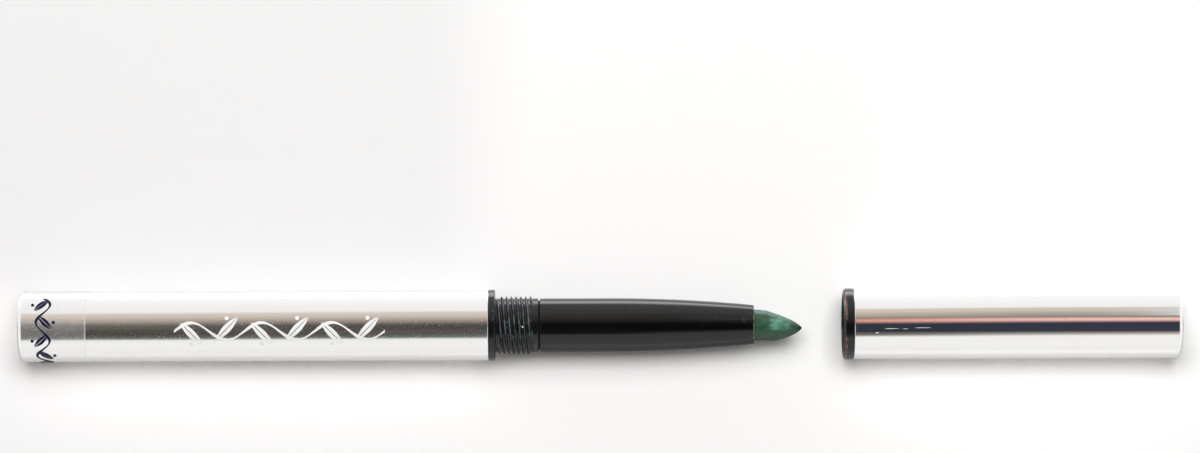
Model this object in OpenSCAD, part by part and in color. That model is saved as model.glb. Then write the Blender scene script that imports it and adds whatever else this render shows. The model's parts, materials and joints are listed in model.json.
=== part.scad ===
// Twist-up kohl liner with a screw cap.
// The pen lies along X with its base at -X. The cap is off and lies in line in front of the tip.
// Lengths are in millimetres. The origin is under the middle of the whole row, on the table.

/* [Barrel] */
// Outside diameter of the barrel, the flange and the cap
body_d = 11.2; // [10.9:0.1:14]
// Length of the metal barrel tube
barrel_len = 73.7; // [70:0.1:95]
// Wall thickness of the barrel tube
barrel_wall = 0.5; // [0.3:0.05:0.6]
// Thickness of the barrel's closed base end
barrel_end_t = 0.6; // [0.4:0.05:2]
// Radius of the rounded base edge
base_round = 0.55; // [0.2:0.05:1.2]

/* [Base label] */
// Thickness of the clear film
label_t = 0.08; // [0.04:0.01:0.2]
// Length of the film along the barrel
label_len = 9.6; // [5:0.1:20]
// Distance from the base end to the film
label_inset = 0.6; // [0.2:0.1:3]

/* [Neck] */
// Thickness of the flange that closes the barrel
flange_t = 1; // [0.6:0.05:2]
// Length of the spigot pressed into the barrel
spigot_len = 7; // [5:0.1:9]
// Length of the neck in front of the flange
neck_len = 6.8; // [6.6:0.1:9]
// Outside diameter of the thread on the neck
thread_major_d = 9.06; // [8.8:0.02:9.3]
// Depth of the thread on the neck
thread_depth = 0.34; // [0.26:0.02:0.36]
// Distance from one thread ridge to the next
thread_pitch = 0.754; // [0.7:0.002:0.9]
// Number of thread starts
thread_starts = 3; // [2:1:4]
// Width of a thread ridge at its crest
thread_crest_w = 0.14; // [0.1:0.01:0.18]
// Gap from the flange to the first thread ridge
thread_inset = 0.45; // [0.35:0.05:0.6]
// Length of neck that carries thread
thread_len = 5.4; // [4.5:0.05:5.6]
// Gap seen between the neck and the turning nose
turn_gap = 0.35; // [0.2:0.05:0.6]
// Wall of the bearing lip inside that gap
lip_wall = 0.28; // [0.2:0.02:0.4]

/* [Nose] */
// Length of the nose sleeve
nose_len = 33.55; // [30:0.05:45]
// Diameter of the nose sleeve at its rear
nose_rear_d = 8.4; // [8:0.05:8.42]
// Diameter of the nose sleeve at its mouth
nose_front_d = 6.1; // [5.8:0.05:7]
// Length of the nose sleeve that is straight
nose_straight_len = 10.5; // [5:0.1:16]
// Radius of the nose sleeve's front edge
nose_edge = 0.22; // [0.1:0.02:0.3]

/* [Guide tube] */
// Wall of the slotted guide tube
guide_wall = 0.55; // [0.4:0.05:0.6]
// Length of guide tube held inside the nose sleeve
guide_reach = 18; // [10:0.1:20]
// Length of guide tube behind its slots
guide_tail = 6; // [3:0.1:10]
// Height of the rib that keeps the guide tube in the neck
rib_h = 0.6; // [0.3:0.05:0.7]
// Thickness of that rib
rib_t = 1; // [0.6:0.1:1.5]
// Thickness of the rubber friction ring
ring_d = 0.9; // [0.8:0.02:1]

/* [Kohl feed] */
// Diameter of the kohl stick
kohl_d = 4.96; // [4.6:0.02:5.1]
// Length of the kohl stick
kohl_len = 36; // [30:0.5:38]
// Length of stick that stands out of the nose
kohl_out = 7.55; // [7.3:0.05:8]
// Length of the stick's pointed end
kohl_point_len = 7.2; // [5:0.1:7.5]
// Depth of the cup that holds the stick
cup_depth = 6; // [4:0.1:8]
// Wall of the cup
cup_wall = 0.38; // [0.3:0.02:0.44]
// Length of the carrier's stem behind the cup
stem_len = 38; // [34:0.5:42]
// Diameter of the carrier's stem
stem_d = 4; // [3:0.1:5]
// Diameter of the two driving lugs
lug_d = 1.4; // [1.2:0.05:1.6]
// Advance of the kohl for one turn of the nose
feed_lead = 8; // [6:0.5:10]
// Depth of the helical track
track_depth = 0.7; // [0.5:0.05:0.8]
// Travel of the kohl back into the nose from the shown place
feed_back = 9; // [8:0.5:10]
// Travel of the kohl forward from the shown place with the cap still closing
feed_forward = 2; // [1:0.1:2.2]
// Further track for feeding out a worn stick
feed_spare = 11; // [5:0.5:12]

/* [Cap] */
// Overall length of the cap
cap_len = 53.1; // [52.8:0.1:60]
// Wall thickness of the cap shell
cap_wall = 0.5; // [0.3:0.05:0.55]
// Radius of the cap's rounded end edge
cap_end_round = 0.9; // [0.3:0.05:1.5]
// Length of the black collar seen at the cap's mouth
collar_len = 1.6; // [1:0.1:3]
// Bevel round the front of the collar
collar_bevel = 0.3; // [0.1:0.05:0.5]
// Thickness of the liner's closed end
liner_end_t = 0.9; // [0.5:0.1:1.1]
// Distance from the cap's mouth to its inner thread
cap_thread_inset = 1.1; // [1:0.05:1.4]
// Length of the cap's inner thread
cap_thread_len = 4.4; // [3:0.1:4.6]
// Turns of the cap from the first thread contact to the flange
screw_turns = 2.5; // [2.5:0.5:3.5]
// Distance from the kohl's tip to the mouth of the cap that is taken off
cap_gap = 6.45; // [3:0.05:20]

/* [Inner cap and spring] */
// Length of nose that the inner cap reaches over
inner_cap_reach = 5.9; // [4:0.1:8]
// Wall of the inner cap
inner_cap_wall = 0.42; // [0.3:0.02:0.45]
// Inside diameter of the inner cap round the kohl
inner_cap_bore_d = 6.1; // [5.6:0.05:6.2]
// Thickness of the inner cap's front flange
inner_cap_flange_t = 0.8; // [0.5:0.05:1.2]
// Height of the bead that keeps the inner cap in the liner
bead_h = 0.3; // [0.2:0.02:0.3]
// Wire diameter of the spring
wire_d = 0.4; // [0.3:0.02:0.44]
// Number of coils in the spring
spring_coils = 8; // [5:1:9]

/* [Fits] */
// Gap between pieces that are pressed together
fit_gap = 0.02; // [0.01:0.01:0.04]
// Gap all round a part that turns or slides in another
run_gap = 0.07; // [0.04:0.01:0.09]
// Gap between meshing thread ridges
thread_play = 0.06; // [0.04:0.01:0.08]
// Gap between the cap's mouth and the flange when the cap is home
seat_gap = 0.05; // [0.02:0.01:0.15]

/* [Hidden] */

$fn = 96;
thread_sides = 36;
edge_steps = 5;
nose_steps = 14;
point_steps = 16;
sink = 0.1;

// Radii, from the axis outwards
body_r = body_d / 2;
barrel_bore_r = body_r - barrel_wall;
cap_bore_r = body_r - cap_wall;
kohl_r = kohl_d / 2;
carrier_r = kohl_r + fit_gap + cup_wall;
guide_bore_r = carrier_r + run_gap;
guide_r = guide_bore_r + guide_wall;
neck_bore_r = guide_r + run_gap;
ring_seat_r = guide_r + ring_d + 2 * fit_gap;
track_r = neck_bore_r + track_depth;
lip_r = neck_bore_r + lip_wall;
thread_major_r = thread_major_d / 2;
thread_root_r = thread_major_r - thread_depth;
nose_rear_r = nose_rear_d / 2;
nose_front_r = nose_front_d / 2;
mouth_gap = 0.12;
mouth_bore_r = kohl_r + mouth_gap;

// Thread form: a ridge gains this half width for each millimetre of depth
flank = 0.5;
thread_lead = thread_pitch * thread_starts;
cap_thread_bore_r = thread_major_r + 2 * thread_play;
crest_play = 0.09;
cap_crest_r = nose_rear_r + crest_play;
cap_crest_w = thread_pitch - thread_crest_w - 2 * flank * (thread_major_r - cap_crest_r) - 2 * thread_play;

// Places along the pen, from the base end
x_seat = barrel_len + flange_t;
x_spigot = barrel_len - spigot_len;
x_neck_end = x_seat + neck_len;
x_nose = x_neck_end + turn_gap;
x_mouth = x_nose + nose_len;
x_tip = x_mouth + kohl_out;
x_stick_end = x_tip - kohl_len;
carrier_floor = 1.2;
lug_boss_len = 5;
x_lug = x_stick_end - carrier_floor - stem_len;
track_margin = 1.3;
x_track_start = x_lug - feed_back - track_margin;
x_track_end = x_lug + feed_forward + feed_spare + track_margin;
track_w = lug_d + 0.3;
slot_w = lug_d + 0.1;
slot_margin = 1;
x_guide_start = x_track_start - guide_tail;
x_guide_end = x_nose + guide_reach;
ring_room = ring_d + 2 * fit_gap;
rib_play = 0.1;
x_ring_seat_end = x_spigot + ring_room + rib_t + rib_play;
cup_stop_gap = 0.5;
x_cup_stop = x_stick_end + cup_depth + feed_forward + feed_spare + cup_stop_gap;
mouth_taper_len = 1.2;

// The cap is drawn where it lies when it is off
x_cap = x_tip + cap_gap;
cap_travel = x_cap - x_seat - seat_gap;
screw_travel = screw_turns * thread_lead;
lift_travel = cap_travel - screw_travel;
x_cap_end = x_cap + cap_len;
x_liner_end = x_cap_end - cap_wall - fit_gap;
x_liner_floor = x_liner_end - liner_end_t;
liner_r = cap_bore_r - fit_gap;
nose_play = 0.2;
liner_bore_r = nose_rear_r + nose_play;
cap_thread_end = cap_thread_inset + cap_thread_len;
thread_relief = 0.9;
liner_step = cap_thread_end + thread_relief;
step_slope = 0.2;
lead_in = 0.35;

// The inner cap's lip fits the nose's taper where the lip stops
function bend_radius(rise, run) = (run * run + rise * rise) / (2 * rise);
nose_bend_r = bend_radius(nose_rear_r - nose_front_r, nose_len - nose_straight_len);
function nose_r(along) =
    along <= nose_straight_len
        ? nose_rear_r
        : nose_rear_r - nose_bend_r + sqrt(pow(nose_bend_r, 2) - pow(along - nose_straight_len, 2));
x_lip = x_mouth - inner_cap_reach + lift_travel;
lip_bore_r = nose_r(nose_len - inner_cap_reach) + run_gap;
inner_cap_r = inner_cap_bore_d / 2 + inner_cap_wall;
inner_cap_wide_r = lip_bore_r + inner_cap_wall;
inner_cap_flange_r = liner_bore_r - run_gap;
front_play = 0.4;
x_shoulder = x_mouth + lift_travel + front_play + inner_cap_wall;
x_inner_floor = x_tip + feed_forward + front_play + lift_travel;
x_inner_end = x_inner_floor + inner_cap_wall;
bead_len = 0.5;
bead_ramp = 0.3;
bead_play = 0.1;
x_bead_end = x_lip - bead_play;
spring_play = 0.1;
spring_steps = 16;
// Mean radius of the wire's corners, so that the straight runs between them clear the inner cap too
spring_r = (inner_cap_r + spring_play + wire_d / 2) / cos(180 / spring_steps);

total_len = x_cap_end;
axis_z = body_r + label_t;

// Moves a shape drawn along Z to the pen's axis
module along_pen() {
    translate([-total_len / 2, 0, axis_z]) rotate([0, 90, 0]) children();
}

// Turns an outline of [radius, place] points round the pen's axis
module turned(outline) {
    rotate_extrude() polygon(outline);
}

// Points of an arc round a centre, from one angle to another
function arc(centre, radius, from, to, steps) = [
    for (i = [0 : steps])
        let (angle = from + (to - from) * i / steps)
        centre + radius * [cos(angle), sin(angle)]
];

// Four points across a helical ridge, at one angle
function ridge_points(angle, z, base_r, crest_r, base_half, crest_half) =
    let (side = crest_r > base_r ? 1 : -1)
    [
        [base_r * cos(angle), base_r * sin(angle), z - side * base_half],
        [crest_r * cos(angle), crest_r * sin(angle), z - side * crest_half],
        [crest_r * cos(angle), crest_r * sin(angle), z + side * crest_half],
        [base_r * cos(angle), base_r * sin(angle), z + side * base_half]
    ];

// Sides and ends of a tube of rings, each with the same number of corners
function tube_faces(rings, corners) = concat(
    [[for (j = [corners - 1 : -1 : 0]) j]],
    [
        for (i = [0 : rings - 2])
        for (j = [0 : corners - 1])
        for (half = [0, 1])
            let (a = i * corners + j, b = i * corners + (j + 1) % corners)
            half == 0 ? [a, b, b + corners] : [a, b + corners, a + corners]
    ],
    [[for (j = [0 : corners - 1]) (rings - 1) * corners + j]]
);

// A right-handed helical ridge from one place to another, running out over a few steps at each end
module helix_ridge(z_from, z_to, lead, first_angle, base_r, crest_r, base_half, crest_half, fade) {
    turn = 360 * (z_to - z_from) / lead;
    steps = ceil(turn / 360 * thread_sides);
    function height(i) = fade == 0 ? 1 : min(1, (i + 0.5) / fade, (steps - i + 0.5) / fade);
    points = [
        for (i = [0 : steps])
        each ridge_points(
            first_angle + turn * i / steps,
            z_from + (z_to - z_from) * i / steps,
            base_r,
            base_r + (crest_r - base_r) * height(i),
            base_half,
            base_half + (crest_half - base_half) * height(i)
        )
    ];
    polyhedron(points, tube_faces(steps + 1, 4), convexity = 10);
}

// All the starts of a thread, side by side
module thread(z_from, z_to, first_angle, wall_r, crest_r, crest_w) {
    inwards = crest_r < wall_r ? 1 : -1;
    base_r = wall_r + inwards * sink;
    base_half = crest_w / 2 + flank * abs(base_r - crest_r);
    for (k = [0 : thread_starts - 1]) {
        helix_ridge(
            z_from, z_to, thread_lead, first_angle + 360 * k / thread_starts,
            base_r, crest_r, base_half, crest_w / 2, 3
        );
    }
}

module barrel_tube() {
    color("silver") along_pen() turned(concat(
        [[0, 0]],
        arc([body_r - base_round, base_round], base_round, -90, 0, edge_steps),
        [
            [body_r, barrel_len],
            [barrel_bore_r, barrel_len],
            [barrel_bore_r, barrel_end_t],
            [0, barrel_end_t]
        ]
    ));
}

module base_label() {
    color("aliceblue", 0.4) along_pen() turned([
        [body_r, label_inset],
        [body_r + label_t, label_inset],
        [body_r + label_t, label_inset + label_len],
        [body_r, label_inset + label_len]
    ]);
}

module neck_collar() {
    spigot_r = barrel_bore_r - fit_gap;
    color("#1c1d1f") along_pen() {
        turned([
            [ring_seat_r, x_spigot],
            [spigot_r, x_spigot],
            [spigot_r, barrel_len],
            [body_r, barrel_len],
            [body_r, x_seat],
            [thread_root_r, x_seat],
            [thread_root_r, x_neck_end],
            [lip_r, x_neck_end],
            [lip_r, x_nose - run_gap],
            [neck_bore_r, x_nose - run_gap],
            [neck_bore_r, x_ring_seat_end],
            [ring_seat_r, x_ring_seat_end]
        ]);
        thread(
            x_seat + thread_inset, x_seat + thread_inset + thread_len, 0,
            thread_root_r, thread_major_r, thread_crest_w
        );
    }
}

module spiral_sleeve() {
    sleeve_r = barrel_bore_r - fit_gap;
    x_start = barrel_end_t + fit_gap;
    tail_room = 4;
    x_step = x_guide_start - tail_room;
    color("ivory") along_pen() difference() {
        turned([
            [track_r, x_start],
            [sleeve_r, x_start],
            [sleeve_r, x_spigot - fit_gap],
            [neck_bore_r, x_spigot - fit_gap],
            [neck_bore_r, x_step],
            [track_r, x_step]
        ]);
        // The lugs stand at 90 and 270 degrees when they are at x_lug
        for (start = [0, 1]) {
            helix_ridge(
                x_track_start, x_track_end, feed_lead,
                90 + 180 * start + 360 * (x_track_start - x_lug) / feed_lead,
                neck_bore_r - sink, track_r, track_w / 2, track_w / 2, 0
            );
        }
    }
}

module friction_ring() {
    ring_mean_r = guide_r + fit_gap + ring_d / 2;
    color("#303236") along_pen() translate([0, 0, x_spigot + ring_room / 2])
        rotate_extrude() translate([ring_mean_r, 0]) circle(d = ring_d);
}

module nose_sleeve() {
    curve_len = nose_len - nose_edge - nose_straight_len;
    edge_angle = asin(curve_len / nose_bend_r);
    edge_centre = [nose_r(nose_len - nose_edge) - nose_edge, x_mouth - nose_edge];
    color("#141516") along_pen() turned(concat(
        [[guide_r + fit_gap, x_nose], [nose_rear_r, x_nose]],
        [
            for (i = [0 : nose_steps - 1])
                let (along = nose_straight_len + curve_len * i / nose_steps)
                [nose_r(along), x_nose + along]
        ],
        arc(edge_centre, nose_edge, edge_angle, 90, edge_steps),
        [
            [mouth_bore_r, x_mouth],
            [mouth_bore_r, x_cup_stop + mouth_taper_len],
            [guide_bore_r, x_cup_stop],
            [guide_bore_r, x_guide_end + fit_gap],
            [guide_r + fit_gap, x_guide_end + fit_gap]
        ]
    ));
}

module guide_tube() {
    x_rib_end = x_ring_seat_end - rib_play;
    slot_from = x_lug - feed_back - lug_d / 2 - slot_margin;
    slot_to = x_lug + feed_forward + feed_spare + lug_d / 2 + slot_margin;
    color("ivory") along_pen() difference() {
        turned([
            [guide_bore_r, x_guide_start],
            [guide_r, x_guide_start],
            [guide_r, x_rib_end - rib_t],
            [guide_r + rib_h, x_rib_end - rib_t],
            [guide_r + rib_h, x_rib_end],
            [guide_r, x_rib_end],
            [guide_r, x_guide_end],
            [guide_bore_r, x_guide_end]
        ]);
        translate([-slot_w / 2, -body_r, slot_from]) cube([slot_w, body_d, slot_to - slot_from]);
    }
}

module carrier() {
    stem_r = stem_d / 2;
    lug_reach = track_r - run_gap;
    x_boss = x_lug - lug_boss_len / 2;
    color("ivory") along_pen() union() {
        turned([
            [0, x_boss],
            [carrier_r, x_boss],
            [carrier_r, x_boss + lug_boss_len],
            [stem_r, x_boss + lug_boss_len],
            [stem_r, x_stick_end - carrier_floor],
            [carrier_r, x_stick_end - carrier_floor],
            [carrier_r, x_stick_end + cup_depth],
            [kohl_r + fit_gap, x_stick_end + cup_depth],
            [kohl_r + fit_gap, x_stick_end - fit_gap],
            [0, x_stick_end - fit_gap]
        ]);
        translate([0, 0, x_lug]) rotate([90, 0, 0]) cylinder(h = 2 * lug_reach, d = lug_d, center = true);
    }
}

// Radius of the kohl's point at a distance from its tip, a blunt ogive
point_bluntness = 0.75;
function point_r(from_tip) = kohl_r * pow(1 - pow(1 - from_tip / kohl_point_len, 2), point_bluntness);

module kohl_stick() {
    color("#2f6b52") along_pen() turned(concat(
        [[0, x_stick_end], [kohl_r, x_stick_end]],
        [
            for (i = [point_steps : -1 : 0])
                let (from_tip = kohl_point_len * pow(i / point_steps, 2))
                [point_r(from_tip), x_tip - from_tip]
        ]
    ));
}

module cap_shell() {
    color("silver") along_pen() turned(concat(
        [[cap_bore_r, x_cap + collar_len + fit_gap], [body_r, x_cap + collar_len + fit_gap]],
        arc([body_r - cap_end_round, x_cap_end - cap_end_round], cap_end_round, 0, 90, edge_steps),
        [
            [0, x_cap_end],
            [0, x_cap_end - cap_wall],
            [cap_bore_r - cap_end_round + cap_wall, x_cap_end - cap_wall],
            [cap_bore_r, x_cap_end - cap_end_round]
        ]
    ));
}

module cap_liner() {
    corner = max(0.05, cap_end_round - cap_wall + fit_gap);
    bead_r = liner_bore_r - bead_h;
    // The cap turns back by its whole screwing angle to lie off the pen
    off_angle = 360 * screw_turns;
    // Half a pitch beside the neck's ridges
    mesh_angle = -360 * (thread_inset - cap_thread_inset - seat_gap) / thread_lead + 180 / thread_starts;
    color("#1c1d1f") along_pen() {
        turned([
            [cap_thread_bore_r + lead_in, x_cap],
            [body_r - collar_bevel, x_cap],
            [body_r, x_cap + collar_bevel],
            [body_r, x_cap + collar_len],
            [liner_r, x_cap + collar_len],
            [liner_r, x_liner_end - corner],
            [liner_r - corner, x_liner_end],
            [0, x_liner_end],
            [0, x_liner_floor],
            [liner_bore_r, x_liner_floor],
            [liner_bore_r, x_bead_end],
            [bead_r, x_bead_end - bead_ramp],
            [bead_r, x_bead_end - bead_ramp - bead_len],
            [liner_bore_r, x_bead_end - 2 * bead_ramp - bead_len],
            [liner_bore_r, x_cap + liner_step],
            [cap_thread_bore_r, x_cap + liner_step - step_slope],
            [cap_thread_bore_r, x_cap + lead_in]
        ]);
        thread(
            x_cap + cap_thread_inset, x_cap + cap_thread_end, mesh_angle + off_angle,
            cap_thread_bore_r, cap_crest_r, cap_crest_w
        );
    }
}

module inner_cap() {
    color("whitesmoke") along_pen() turned([
        [lip_bore_r, x_lip],
        [inner_cap_flange_r, x_lip],
        [inner_cap_flange_r, x_lip + inner_cap_flange_t],
        [inner_cap_wide_r, x_lip + inner_cap_flange_t],
        [inner_cap_wide_r, x_shoulder],
        [inner_cap_r, x_shoulder],
        [inner_cap_r, x_inner_end],
        [0, x_inner_end],
        [0, x_inner_floor],
        [inner_cap_bore_d / 2, x_inner_floor],
        [inner_cap_bore_d / 2, x_shoulder - inner_cap_wall],
        [lip_bore_r, x_shoulder - inner_cap_wall]
    ]);
}

// One unbroken wire, drawn at the length it has with the cap off
module cap_spring() {
    sides = 6;
    wire_r = wire_d / 2;
    z_from = x_shoulder + wire_r + fit_gap;
    z_to = x_liner_floor - wire_r - fit_gap;
    steps = spring_coils * spring_steps;
    points = [
        for (i = [0 : steps])
        for (j = [0 : sides - 1])
            let (
                angle = 360 * i / spring_steps,
                z = z_from + (z_to - z_from) * i / steps,
                r = spring_r + wire_r * cos(360 * j / sides)
            )
            [r * cos(angle), r * sin(angle), z + wire_r * sin(360 * j / sides)]
    ];
    color("lightsteelblue") along_pen() polyhedron(points, tube_faces(steps + 1, sides), convexity = 10);
}

barrel_tube();
base_label();
neck_collar();
spiral_sleeve();
friction_ring();
nose_sleeve();
guide_tube();
carrier();
kohl_stick();
cap_shell();
cap_liner();
inner_cap();
cap_spring();
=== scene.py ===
"""Looks of a twist-up kohl liner that lies in a row with its screw cap.

The pen lies along X with its base at -X. Sizes in the classes are millimetres along the pen,
counted from its base end, and radii from its axis. Angles round the axis count from straight up
towards +Y.
"""
from __future__ import annotations

import json
import logging
import math
from collections.abc import Callable, Sequence
from dataclasses import dataclass, field
from enum import Enum
from functools import reduce

import bpy
import numpy as np
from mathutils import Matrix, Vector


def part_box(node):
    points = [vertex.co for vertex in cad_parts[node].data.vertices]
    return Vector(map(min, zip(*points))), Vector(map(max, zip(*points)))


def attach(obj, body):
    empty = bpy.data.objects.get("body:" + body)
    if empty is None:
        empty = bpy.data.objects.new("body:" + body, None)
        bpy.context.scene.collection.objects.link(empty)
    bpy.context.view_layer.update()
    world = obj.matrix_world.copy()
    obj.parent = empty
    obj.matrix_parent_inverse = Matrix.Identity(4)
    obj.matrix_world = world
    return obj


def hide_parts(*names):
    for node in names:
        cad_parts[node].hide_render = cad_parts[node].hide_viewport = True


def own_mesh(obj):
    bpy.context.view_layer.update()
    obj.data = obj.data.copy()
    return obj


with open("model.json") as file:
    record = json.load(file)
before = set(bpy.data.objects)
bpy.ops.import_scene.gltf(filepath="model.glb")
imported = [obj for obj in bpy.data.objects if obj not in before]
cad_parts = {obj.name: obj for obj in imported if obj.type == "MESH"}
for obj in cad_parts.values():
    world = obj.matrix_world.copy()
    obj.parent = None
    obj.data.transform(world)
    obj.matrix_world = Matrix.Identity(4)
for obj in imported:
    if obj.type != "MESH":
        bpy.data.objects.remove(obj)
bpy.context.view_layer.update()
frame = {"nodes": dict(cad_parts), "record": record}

MM = 0.001
log = logging.getLogger("kohl_liner")

Value = "Signal | float"
Colour = tuple[float, float, float]
Stops = Sequence[tuple[float, Colour]]

BLACK: Colour = (0.0, 0.0, 0.0)
TENT: Colour = (0.92, 0.91, 0.9)


class Side(Enum):
    """Whether an outline closes on itself or runs from pole to pole."""

    RING = "ring"
    SOLID = "solid"


class Lie:
    """Where the pen lies: its base end and its axis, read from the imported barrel."""

    def __init__(self) -> None:
        """Reads the barrel's box and the joint that the nose turns on."""
        self.base_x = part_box("barrel_tube")[0].x
        turn = next(j for j in frame["record"]["behaviour"]["joints"] if j["name"] == "nose_turn")
        self.axis_z = turn["pos_m"][2]

    def along(self, x: float) -> float:
        """Returns the distance from the base end in millimetres of a place x in the frame."""
        return (x - self.base_x) / MM

    def place(self, along: np.ndarray, radius: np.ndarray, angle: np.ndarray) -> np.ndarray:
        """Turns places on the pen into points of the frame.

        The point is (base + along, radius times sine, axis height + radius times cosine).

        Args:
            along: distances from the base end, in millimetres.
            radius: distances from the axis, in millimetres.
            angle: angles round the axis, in radians.

        Returns:
            Points in metres, with the coordinates in the last dimension.
        """
        return np.stack(np.broadcast_arrays(
            self.base_x + along * MM,
            radius * np.sin(angle) * MM,
            self.axis_z + radius * np.cos(angle) * MM,
        ), axis=-1)


lie = Lie()


def _operation(operation: str, reflected: bool = False) -> Callable[..., "Signal"]:
    """Makes a method that puts a Signal through a Math node.

    Args:
        operation: the node's operation.
        reflected: whether the Signal comes after the other operand.

    Returns:
        The method, which takes the other operands and returns the result.
    """
    def method(self: "Signal", *others: Value) -> "Signal":
        """Adds the node and returns its result."""
        values = (*others, self) if reflected else (self, *others)
        return self.graph.node("ShaderNodeMath", {"operation": operation}, dict(enumerate(values)))
    return method


@dataclass(frozen=True)
class Signal:
    """A number that varies over a surface: a node's output with the arithmetic of a float."""

    graph: "Graph"
    socket: bpy.types.NodeSocket

    __add__ = __radd__ = _operation("ADD")
    __mul__ = __rmul__ = _operation("MULTIPLY")
    __sub__ = _operation("SUBTRACT")
    __rsub__ = _operation("SUBTRACT", reflected=True)
    __truediv__ = _operation("DIVIDE")
    __rtruediv__ = _operation("DIVIDE", reflected=True)
    abs = _operation("ABSOLUTE")
    sine = _operation("SINE")
    angle_from = _operation("ARCTAN2")
    highest = _operation("MAXIMUM")
    lowest = _operation("MINIMUM")
    _wrap = _operation("WRAP")

    def wrap(self, low: float, high: float) -> "Signal":
        """Returns the value brought between two limits by whole steps of their distance."""
        return self._wrap(high, low)

    def rise(self, low: float, high: float) -> "Signal":
        """Returns a smooth step from 0 at low to 1 at high, which may lie below low."""
        settings = {"interpolation_type": "SMOOTHSTEP"}
        return self.graph.node("ShaderNodeMapRange", settings, {"Value": self, 1: low, 2: high})

    def between(self, low: float, high: float, soft: float) -> "Signal":
        """Returns 1 between two limits, and fades to 0 over the width soft outside them."""
        return self.rise(low - soft, low) * self.rise(high + soft, high)


class Graph:
    """A node tree that is written as expressions."""

    def __init__(self, tree: bpy.types.NodeTree) -> None:
        """Empties the tree."""
        self.tree = tree
        tree.nodes.clear()

    def node(self, kind: str, settings: dict, inputs: dict, output: int | str | None = 0) -> Signal:
        """Adds a node.

        Args:
            kind: the node's type.
            settings: its own settings, which are set first, and a ramp's pairs of place and colour.
            inputs: a number, colour or Signal for each named or numbered input socket.
            output: the output that the Signal stands for, or None for a node that ends the tree.

        Returns:
            The output as a Signal.
        """
        node = self.tree.nodes.new(kind)
        for name, setting in settings.items():
            if name == "stops":
                self._set_stops(node.color_ramp, setting)
            else:
                setattr(node, name, setting)
        for name, value in inputs.items():
            if isinstance(value, Signal):
                self.tree.links.new(value.socket, node.inputs[name])
            elif isinstance(value, tuple) and node.inputs[name].type == "RGBA":
                node.inputs[name].default_value = (*value, 1.0)
            else:
                node.inputs[name].default_value = value
        return Signal(self, node.outputs[output] if output is not None else None)

    @staticmethod
    def _set_stops(ramp: bpy.types.ColorRamp, stops: Stops) -> None:
        """Gives a ramp its stops.

        Args:
            ramp: the ramp, whose first stop is used again.
            stops: pairs of place and colour, in rising order.
        """
        while len(ramp.elements) > 1:
            ramp.elements.remove(ramp.elements[-1])
        for index, (place, colour) in enumerate(stops):
            stop = ramp.elements[0] if index == 0 else ramp.elements.new(place)
            stop.position = place
            stop.color = (*colour, 1.0)

    def xyz(self, vector: Signal) -> tuple[Signal, Signal, Signal]:
        """Returns a vector's three coordinates."""
        outputs = self.node("ShaderNodeSeparateXYZ", {}, {0: vector}).socket.node.outputs
        return tuple(Signal(self, outputs[axis]) for axis in range(3))

    def mix(self, share: Value, first: Signal | Colour, second: Signal | Colour) -> Signal:
        """Returns the first colour where share is 0, and the second where it is 1."""
        return self.node("ShaderNodeMix", {"data_type": "RGBA"}, {0: share, 6: first, 7: second}, 2)

    def paths(self) -> tuple[Signal, Signal, Signal]:
        """Tells apart the rays that look something up.

        Returns:
            1 for a ray from the camera, 1 for one that the camera sees in a mirror, and 1 for one
            by which a mirror throws light on a dull surface, each 0 for all other rays.
        """
        path = self.node("ShaderNodeLightPath", {}, {}, "Is Glossy Ray")
        outputs = path.socket.node.outputs
        dull = Signal(self, outputs["Diffuse Depth"]).lowest(1)
        return Signal(self, outputs["Is Camera Ray"]), path * (1 - dull), path * dull

    def bands(self, share: Signal, stops: Stops) -> Signal:
        """Returns the colour at a share of the turn from -180 degrees, for stops in degrees."""
        shares = [((degrees + 180) / 360, colour) for degrees, colour in stops]
        return self.node("ShaderNodeValToRGB", {"stops": shares}, {0: share})


class Skin(Graph):
    """A material on one Principled shader, with the places on the pen that patterns need."""

    def __init__(self, name: str) -> None:
        """Makes the material and finds the place and angle of each point of the piece.

        Args:
            name: the material's name.
        """
        self.material = bpy.data.materials.new(name)
        self.material.use_nodes = True
        super().__init__(self.material.node_tree)
        self.place = self.node("ShaderNodeTexCoord", {}, {}, "Object")
        x, self.y, z = self.xyz(self.place)
        self.along = (x - lie.base_x) / MM
        self.height = z - lie.axis_z
        self.angle = self.y.angle_from(self.height) * math.degrees(1)

    def outside(self, low: float, high: float) -> Signal:
        """Returns a smooth step from 0 within radius low to 1 beyond radius high."""
        square = (self.y * self.y + self.height * self.height) / (MM * MM)
        return square.rise(low * low, high * high)

    def noise(self, grain: float, detail: float = 2.0, stretch: float = 1.0) -> Signal:
        """Adds cloudy noise.

        Args:
            grain: the size of its spots, in millimetres.
            detail: how many finer layers it has.
            stretch: how many times longer the spots are along the pen.

        Returns:
            The noise, from 0 to 1.
        """
        across = 1 / (grain * MM)
        scale = (1 / (grain * MM * stretch), across, across)
        settings = {"operation": "MULTIPLY"}
        scaled = self.node("ShaderNodeVectorMath", settings, {0: self.place, 1: scale})
        inputs = {"Vector": scaled, "Scale": 1.0, "Detail": detail}
        return self.node("ShaderNodeTexNoise", {}, inputs)

    def bump(self, height: Signal, depth: float) -> Signal:
        """Returns the normal of a surface whose height from 0 to 1 spans a depth in millimetres."""
        inputs = {"Strength": 1.0, "Distance": depth * MM, "Height": height}
        return self.node("ShaderNodeBump", {}, inputs)

    def finish(self, inputs: dict) -> bpy.types.Material:
        """Ends the material in a Principled shader.

        Args:
            inputs: a number, colour or Signal for each of the shader's inputs.

        Returns:
            The material.
        """
        shader = self.node("ShaderNodeBsdfPrincipled", {}, inputs)
        self.node("ShaderNodeOutputMaterial", {}, {"Surface": shader}, None)
        return self.material


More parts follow.
